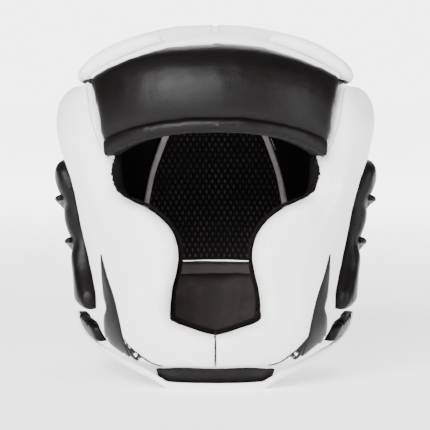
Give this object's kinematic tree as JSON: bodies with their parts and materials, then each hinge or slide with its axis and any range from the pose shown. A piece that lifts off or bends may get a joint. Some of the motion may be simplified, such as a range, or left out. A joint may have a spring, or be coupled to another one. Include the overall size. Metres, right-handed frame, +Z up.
{
  "type": "head guard",
  "caption": "Full-face padded leather head guard in white and black, with a T-shaped face opening, ear pads, an open head hollow and a collar that it stands on.",
  "frame": {"origin": "middle of the bounding box at the floor", "axes": "+Z up, the face opening towards -Y, +X to the right of someone who faces the guard"},
  "size_m": [0.2482, 0.2522, 0.263],
  "materials": {
    "white_leather": "smooth semi-gloss leather",
    "black_leather": "semi-gloss leather",
    "trim_suede": "matt suede",
    "black_lining": "smooth matt lining",
    "mesh_lining": "open mesh cloth",
    "nape_leather": "smooth leather",
    "pale_binding": "stitched binding"
  },
  "bodies": {
    "root": {"brow_roll": "black_leather", "collar_binding": "white_leather", "crown_lip_left": "white_leather", "crown_lip_right": "white_leather", "crown_panel": "white_leather", "ear_pad_left": "black_leather", "ear_pad_right": "black_leather", "ear_ring_lower_left": "black_leather", "ear_ring_lower_right": "black_leather", "ear_ring_upper_left": "black_leather", "ear_ring_upper_right": "black_leather", "face_trim_left": "trim_suede", "face_trim_right": "trim_suede", "forehead_binding": "white_leather", "forehead_pad": "black_leather", "jaw_crescent_left": "black_leather", "jaw_crescent_right": "black_leather", "jaw_flap_left": "black_leather", "jaw_flap_right": "black_leather", "jaw_flash_left": "black_leather", "jaw_flash_right": "black_leather", "nape_hem": "pale_binding", "nape_pad": "nape_leather", "rear_binding_left": "pale_binding", "rear_binding_right": "pale_binding", "rear_lining": "mesh_lining", "rear_pad": "white_leather", "rear_strap": "black_leather", "side_lining_left": "black_lining", "side_lining_right": "black_lining", "side_shell_left": "white_leather", "side_shell_right": "white_leather", "side_wall_left": "white_leather", "side_wall_right": "white_leather", "under_chin_panel": "black_leather"}
  },
  "joints": []
}
